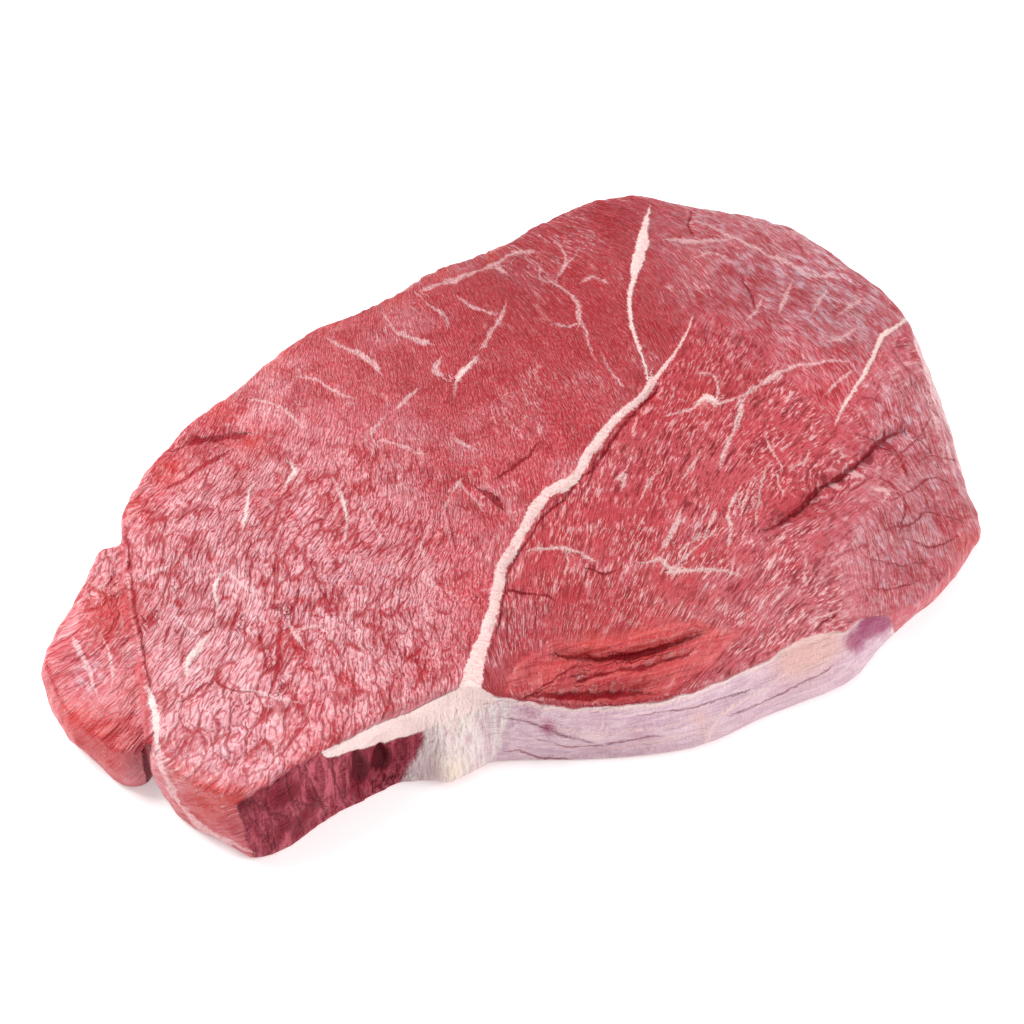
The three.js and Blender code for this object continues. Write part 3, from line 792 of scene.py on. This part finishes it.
# Orange-red for the rims, partly their own colour and partly painted light
ORANGE_RIM = rgb(216, 56, 44)
FAT = rgb(242, 212, 206)
# Creamy white, for marbling and for painted glints on the flecks
MARBLE = rgb(250, 196, 198)
# Painted light on the lips of the folds
LIP = rgb(224, 104, 100)
DARK_MEAT = rgb(124, 24, 42, FRONT)
DARK_MEAT_LIGHT = rgb(196, 92, 108, FRONT)
EAVE = rgb(234, 204, 200, FRONT)
TISSUE = rgb(230, 212, 210, FRONT)
TISSUE_PINK = rgb(208, 172, 180, FRONT)
TISSUE_YELLOW = rgb(234, 216, 190, FRONT)
SILVER = rgb(198, 160, 176, FRONT)
SILVER_LIGHT = rgb(216, 184, 192, FRONT)
PEACH = rgb(216, 168, 160, FRONT)
PURPLE = rgb(150, 46, 92, FRONT)

# Angles of the grain in the plan, in degrees from X
FILM_ANGLE = -75
SKIN_ANGLE = -6
THREAD_ANGLE = 20
RIB_ANGLE = -42
# How far beyond a line's edge its mask may reach, in pixels
LINE_END = (5.5, 3.5)


class Graph:
    """A material's node tree, with a short call for each kind of node that the scene uses."""

    def __init__(self, name):
        self.material = bpy.data.materials.new(name)
        self.material.use_nodes = True
        self.nodes = self.material.node_tree.nodes
        self.nodes.clear()

    def put(self, value, socket):
        if isinstance(value, bpy.types.NodeSocket):
            self.material.node_tree.links.new(value, socket)
        elif value is not None:
            socket.default_value = value

    def node(self, kind, inputs=(), **settings):
        made = self.nodes.new("ShaderNode" + kind)
        for name, value in settings.items():
            setattr(made, name, value)
        for name, value in dict(inputs).items():
            self.put(value, made.inputs[name])
        return made

    def finish(self, inputs):
        """Ends the tree with a principled surface and gives the material."""
        surface = self.node("BsdfPrincipled", inputs)
        self.node("OutputMaterial", {"Surface": surface.outputs["BSDF"]})
        return self.material

    def vector(self, name):
        found = self.node("Attribute", attribute_name=name, attribute_type="GEOMETRY")
        return found.outputs["Vector"]

    def parts(self, name):
        """The three numbers of one of the mesh's attributes."""
        return self.node("SeparateXYZ", {0: self.vector(name)}).outputs

    def math(self, operation, a, b=None):
        return self.node("Math", {0: a, 1: b}, operation=operation).outputs[0]

    def chain(self, operation, values):
        total = values[0]
        for value in values[1:]:
            total = self.math(operation, total, value)
        return total

    def add(self, *values):
        return self.chain("ADD", values)

    def times(self, *values):
        return self.chain("MULTIPLY", values)

    def highest(self, *values):
        return self.chain("MAXIMUM", values)

    def minus(self, a, b):
        return self.math("SUBTRACT", a, b)

    def without(self, share, value):
        """1 less a share of the value."""
        return self.minus(1.0, self.times(share, value))

    def between(self, share, a, b):
        """The number at a share of the way from a to b."""
        return self.add(self.times(self.minus(1.0, share), a), self.times(share, b))

    def step(self, value, low, high):
        """0 below low and 1 above high, with soft ends. low may be the larger."""
        inputs = {"Value": value, "From Min": low, "From Max": high}
        return self.node("MapRange", inputs, interpolation_type="SMOOTHSTEP").outputs["Result"]

    def mix(self, share, a, b):
        return self.node("Mix", {0: share, 6: a, 7: b}, data_type="RGBA").outputs[2]

    def scaled(self, vector, scale):
        return self.node("VectorMath", {0: vector, 1: scale}, operation="MULTIPLY").outputs[0]

    def grain(self, degrees, long_mm, wide_mm, tall_mm=None):
        """Coordinates in units of a grain: its length along an angle from X, width and height."""
        place = self.node("TexCoord").outputs["Object"]
        inputs = {"Vector": place, "Angle": -math.radians(degrees)}
        turned = self.node("VectorRotate", inputs, rotation_type="Z_AXIS").outputs[0]
        sizes = (long_mm, wide_mm, tall_mm or wide_mm)
        return self.scaled(turned, tuple(1 / (size * MM) for size in sizes))

    def along(self, name, long_mm, wide_mm):
        """Coordinates along and across the fibres, in units of a grain's length and width."""
        return self.scaled(self.vector(name), (1 / long_mm, 1 / wide_mm, 1 / wide_mm))

    def noise(self, vector, detail=2.0, roughness=0.62, scale=1.0, dimensions="3D"):
        inputs = {"Vector": vector, "Scale": scale, "Detail": detail, "Roughness": roughness}
        return self.node("TexNoise", inputs, noise_dimensions=dimensions).outputs["Fac"]

    def flat_noise(self, vector, detail=2.0):
        return self.noise(vector, detail, dimensions="2D")

    def cells(self, vector):
        """Distance from the borders of scattered flat cells."""
        return self.node("TexVoronoi", {"Vector": vector, "Scale": 1.0},
                         voronoi_dimensions="2D", feature="DISTANCE_TO_EDGE").outputs["Distance"]

    def ridge(self, name, long_mm, wide_mm):
        """Distance from the winding lines where a noise along the fibres crosses its middle."""
        value = self.flat_noise(self.along(name, long_mm, wide_mm), 3.0)
        return self.math("ABSOLUTE", self.minus(value, 0.5))

    def line(self, field, spread, soft, wander):
        """A line's mask from its signed distance, distance and half width."""
        signed = self.math("ABSOLUTE", self.add(field[0], wander))
        mask = self.step(self.minus(signed, self.times(field[2], spread)), soft, -soft)
        return self.times(mask, self.step(self.minus(field[1], field[2]), *LINE_END))


def left_muscle(g, m):
    """Pale flecks that are partly painted glints, red cracks that are partly painted shade, and
    the height of the left-hand muscle's crinkled grain.
    """
    plates = g.cells(g.along("left_flow", 9.0, 2.1))
    scales = g.cells(g.along("left_flow", 4.0, 0.85))
    fine = g.flat_noise(g.along("left_flow", 1.4, 0.45), 3.0)
    torn = g.minus(fine, 0.5)
    amount = g.add(0.5, g.times(0.5, m.crackle))
    reach = g.add(0.05, g.times(0.2, g.step(m.mottle_4, 0.3, 0.75)))
    web = g.times(amount, g.step(g.add(plates, g.times(0.28, torn)), reach, 0.0))
    net = g.times(0.8, amount, g.step(g.add(scales, g.times(0.4, torn)), 0.12, 0.01))
    dark = g.highest(web, net, g.times(0.3, amount, g.step(fine, 0.45, 0.36)))
    pale = g.times(0.55, amount, g.step(fine, 0.5, 0.64))
    height = g.add(
        g.times(0.42, m.crackle, g.step(plates, 0.0, 0.22)),
        g.times(0.26, g.step(scales, 0.0, 0.25)),
        g.times(0.42, fine),
    )
    return pale, dark, height


def right_muscle(g, m):
    """Pale dashes that are partly painted glints, dark gaps that are partly painted shade, and
    the height of the right-hand muscle's fanned fibres.
    """
    fibres = g.flat_noise(g.along("fan", 6.5, 0.95))
    strands = g.flat_noise(g.along("fan", 2.4, 0.34), 3.0)
    pale = g.highest(g.times(g.step(strands, 0.55, 0.63), g.step(m.mottle_4, 0.25, 0.65)),
                     g.times(g.step(fibres, 0.58, 0.65), g.step(m.mottle_3, 0.4, 0.65)))
    dark = g.highest(g.times(0.85, g.step(fibres, 0.44, 0.33), g.add(0.4, m.mottle_9)),
                     g.times(0.65, g.step(strands, 0.46, 0.35)))
    return pale, dark, g.add(g.times(1.3, fibres), g.times(0.7, strands))


def lean_meat(g, m, flecks, dark):
    """The colour of the two muscles: broad tones with painted sheen and shade in places, then
    lighter flecks with painted glints, dark gaps with painted shade, red rims with painted light,
    and painted shade on the walls that face away.
    """
    # Paler pink, more on the left-hand muscle and at the pale spots: partly the meat's own tone
    # and partly painted sheen
    pinkness = g.add(0.22, g.times(0.4, m.crackle))
    colour = g.mix(g.times(pinkness, g.step(m.mottle_9, 0.35, 0.75)), LEAN, LEAN_PALE)
    colour = g.mix(g.times(m.pale, g.step(m.mottle_3, 0.0, 0.6)), colour, LEAN_PALE)
    # Deep red, partly the meat's own tone and partly painted shade in recesses and folds
    colour = g.mix(g.highest(g.times(0.85, m.deep), g.times(0.35, m.right)), colour, LEAN_DEEP)
    # Lilac tone, partly the silvery film and partly painted sheen, with paler and deeper streaks
    colour = g.mix(g.times(0.75, m.cool), colour, LEAN_COOL)
    film = g.noise(g.grain(FILM_ANGLE, 4.2, 1.7), 2, 0.55)
    colour = g.mix(g.times(0.75, m.cool, g.step(film, 0.5, 0.62)), colour, SHEEN)
    colour = g.mix(g.times(0.6, m.cool, g.step(film, 0.46, 0.34)), colour, LEAN_DEEP)
    colour = g.mix(g.times(0.5, g.step(m.mottle_4, 0.55, 0.8)), colour, LEAN_DEEP)
    # Painted light on the lips of the folds, and painted shade between them
    lips = g.mix(g.step(m.folds, 0.36, 0.6), LEAN_DEEP, LIP)
    colour = g.mix(g.times(0.55, m.strands), colour, lips)
    quiet = g.times(g.without(0.85, m.smoothness), g.without(0.75, m.wall))
    # Pale flecks, dashes and specks, partly fat and partly painted glints
    colour = g.mix(g.times(0.85, quiet, flecks, g.without(0.55, m.deep)), colour, MARBLE)
    colour = g.mix(g.times(0.3, g.step(m.speck, 0.6, 0.72)), colour, MARBLE)
    wisps = g.times(g.step(g.ridge("left_flow", 11.0, 4.0), 0.026, 0.006),
                    g.minus(1.0, m.right))
    colour = g.mix(g.times(0.6, wisps, g.step(m.mottle_9, 0.5, 0.75)), colour, MARBLE)
    # Dark cracks and gaps, partly the grain and partly painted shade
    colour = g.mix(g.times(0.84, quiet, dark), colour, g.mix(m.right, RED_CRACK, CRACK))
    # Orange-red rims, partly the meat's own colour and partly painted light on the edges
    colour = g.mix(g.times(0.8, m.orange, g.step(m.speck, 0.7, 0.45)), colour, ORANGE_RIM)
    # Painted shade on the walls that face away from the camera
    return g.mix(g.times(0.4, m.behind), colour, HOLLOW)


def dark_cut(g, m, colour):
    """The mask of the dark cut face at the front left, and the colour with the face on it, with
    painted shade in the face's recesses.
    """
    face = g.step(g.add(m.dark_face, g.times(m.ragged, 0.3)), -1.5, 1.5)
    lighter = g.times(g.add(g.times(0.4, g.step(m.speck, 0.35, 0.65)),
                            g.times(0.7, g.step(m.threads, 0.4, 0.62))),
                      g.step(m.mottle_4, 0.1, 0.7), g.minus(1.0, m.deep))
    colour = g.mix(face, colour, g.mix(lighter, DARK_MEAT, DARK_MEAT_LIGHT))
    # Painted shade in the recesses of the face, where the deep spots are
    return face, g.mix(g.times(0.75, face, g.step(m.deep, 0.5, 1.0)), colour, HOLLOW)


def thin_skin(g, m, colour):
    """The mask of the thin skin along the front, and the colour with the skin on it."""
    skin = g.step(g.add(m.skin, g.times(m.ragged, 0.2)), -1.2, 1.2)
    film = g.mix(g.step(m.folds, 0.35, 0.68), SILVER, SILVER_LIGHT)
    film = g.mix(g.times(0.75, g.step(m.skin, 5.5, 2.0)), film, EAVE)
    bruise = g.step(g.add(m.purple, g.times(m.ragged, 0.05)), 0.05, 0.75)
    film = g.mix(g.times(0.95, bruise), film, PURPLE)
    film = g.mix(g.times(0.9, m.peach), film, PEACH)
    return skin, g.mix(skin, colour, film)


def seams_and_creases(g, m, colour, dark_face):
    """The masks of the marbling, the creases and the seams, and the colour with them on it. The
    creases are painted shade, darkest in the wide ones and on the dark cut face.
    """
    spread = g.add(0.25, g.times(1.1, m.mottle_3))
    vein = g.line(m.marbling, spread, 1.4, g.times(m.ragged, 0.65))
    vein = g.times(vein, g.add(0.45, g.times(0.55, g.step(m.speck, 0.35, 0.55))))
    colour = g.mix(g.times(vein, 0.85), colour, g.mix(g.times(0.6, m.right), MARBLE, FAT))
    # Painted shade in the creases, darkest in the wide ones and on the dark cut face
    crease = g.line(m.creases, spread, 1.2, g.times(m.ragged, 0.4))
    hollow = g.highest(dark_face, g.step(m.creases[2], 2.9, 4.2))
    shade = g.mix(hollow, g.mix(m.crackle, CRACK, RED_CRACK), HOLLOW)
    colour = g.mix(g.times(0.8, crease, g.without(0.4, dark_face)), colour, shade)
    seam = g.line(m.seams, g.add(0.8, g.times(0.4, m.mottle_3)), 1.1, g.times(m.ragged, 0.6))
    ribs = g.step(g.noise(g.grain(RIB_ANGLE, 2.6, 0.55), 2, 0.6), 0.36, 0.55)
    fat = g.mix(ribs, g.mix(0.5, FAT, LEAN_PALE), FAT)
    return vein, crease, seam, g.mix(g.times(0.96, seam), colour, fat)


def white_front(g, m, colour):
    """The masks of the white tissue and of the fat that hangs over the dark cut face, and the
    colour with both on it."""
    tissue = g.step(g.add(m.tissue, g.times(m.ragged, 0.35)), -3.5, 3.5)
    white = g.mix(g.step(m.threads, 0.25, 0.65), TISSUE_PINK, TISSUE)
    white = g.mix(g.times(0.8, m.peach), white, TISSUE_YELLOW)
    eave = g.step(g.add(m.eave, g.times(m.ragged, 0.35)), -0.8, 0.8)
    fat = g.mix(g.step(m.threads, 0.2, 0.5), TISSUE, EAVE)
    return tissue, eave, g.mix(eave, g.mix(tissue, colour, white), fat)


def read_masks(g):
    """The mesh's attributes and the noises that several parts of the meat share."""
    m = SimpleNamespace()
    for pack, names in PACKS.items():
        for name, part in zip(names, g.parts(pack)):
            setattr(m, name, part)
    m.seams, m.marbling, m.creases = (g.parts(n) for n in ("seams", "marbling", "creases"))
    plain = g.grain(0, 1, 1)
    m.speck = g.noise(plain, 2, 0.65, scale=1.5)
    m.ragged = g.times(g.minus(g.noise(plain, 2, 0.7), 0.5), 10.0)
    m.folds = g.noise(g.grain(SKIN_ANGLE, 28, 1.3), 2, 0.6)
    m.threads = g.noise(g.grain(THREAD_ANGLE, 1.1, 1.1, 7.0), 2, 0.6)
    return m


def build_meat():
    g = Graph("meat")
    m = read_masks(g)
    muscles = zip(left_muscle(g, m), right_muscle(g, m))
    flecks, dark, lean_high = (g.between(m.right, a, b) for a, b in muscles)
    colour = lean_meat(g, m, flecks, dark)
    dark_face, colour = dark_cut(g, m, colour)
    skin, colour = thin_skin(g, m, colour)
    vein, crease, seam, colour = seams_and_creases(g, m, colour, dark_face)
    tissue, eave, colour = white_front(g, m, colour)

    # relief finer than the mesh, in millimetres
    white = g.highest(skin, tissue, eave, seam)
    height = g.add(
        g.times(lean_high, g.minus(1.0, white), g.without(0.7, m.smoothness),
                g.without(0.6, m.wall)),
        g.times(0.45, m.speck),
        g.times(white, g.add(0.75, g.times(0.3, m.threads))),
        g.times(-0.4, crease),
        g.times(0.1, vein),
        g.times(1.3, g.highest(skin, m.strands), g.minus(m.folds, 0.5)),
        g.times(0.7, g.highest(tissue, dark_face), g.minus(m.threads, 0.5)),
    )
    bump = g.node("Bump", {"Height": height, "Strength": 1.0, "Distance": MM})
    matt = g.highest(g.times(0.85, crease), g.times(0.7, dark_face), g.times(0.6, dark))
    return g.finish({
        "Base Color": colour,
        "Roughness": g.add(0.4, g.times(0.2, m.speck), g.times(0.08, m.deep),
                           g.times(0.05, white)),
        "Normal": bump.outputs["Normal"],
        "Specular IOR Level": g.times(0.4, g.minus(1.0, matt)),
        "Coat Weight": g.times(0.3, g.minus(1.0, matt)),
        "Coat Roughness": 0.17,
    })


# ---- The floor, the lights and the camera ----

FLOOR_REACH = 4.0
WORLD_LIGHT = 0.42
WHITE = (1.0, 1.0, 1.0, 1.0)
# Lamps: name, place, size and watts
LAMPS = [
    ("key", (-0.45, 0.8, 0.95), (1.1, 0.9), 28),
    ("fill", (0.75, -0.85, 0.75), (0.9, 0.6), 12),
]


def build_floor():
    mesh = bpy.data.meshes.new("floor")
    far = FLOOR_REACH
    mesh.from_pydata([(-far, -far, 0), (far, -far, 0), (far, far, 0), (-far, far, 0)], [],
                     [(0, 1, 2, 3)])
    floor = bpy.data.objects.new("floor", mesh)
    scene.collection.objects.link(floor)
    mesh.materials.append(Graph("floor").finish({
        "Base Color": (0.94, 0.94, 0.94, 1.0),
        "Roughness": 0.8,
        "Specular IOR Level": 0.0,
        "Emission Color": WHITE,
        "Emission Strength": 0.35,
    }))


def add_aimed(name, data, place, aim):
    """Puts a lamp or a camera at a place in the scene, looking at another."""
    holder = bpy.data.objects.new(name, data)
    holder.location = place
    holder.rotation_mode = "QUATERNION"
    holder.rotation_quaternion = (Vector(aim) - Vector(place)).to_track_quat("-Z", "Y")
    scene.collection.objects.link(holder)
    return holder


def add_softbox(name, place, size, watts):
    lamp = bpy.data.lights.new(name, "AREA")
    lamp.shape = "RECTANGLE"
    lamp.size, lamp.size_y = size
    lamp.energy = watts
    add_aimed(name, lamp, place, (0, 0, 0))


def build_lights():
    world = bpy.data.worlds.new("studio")
    world.use_nodes = True
    background = world.node_tree.nodes["Background"]
    background.inputs["Color"].default_value = WHITE
    background.inputs["Strength"].default_value = WORLD_LIGHT
    scene.world = world
    for lamp in LAMPS:
        add_softbox(*lamp)


def build_camera():
    lens = bpy.data.cameras.new("camera")
    lens.lens = LENS_MM
    lens.sensor_width = SENSOR_MM
    lens.clip_start, lens.clip_end = 0.05, 20.0
    scene.camera = add_aimed("camera", lens, EYE, TARGET)


scene.view_settings.view_transform = "Standard"
build_camera()
build_floor()
build_lights()
steak = build_steak()
steak.data.materials.append(build_meat())
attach(steak, "root")
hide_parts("steak")
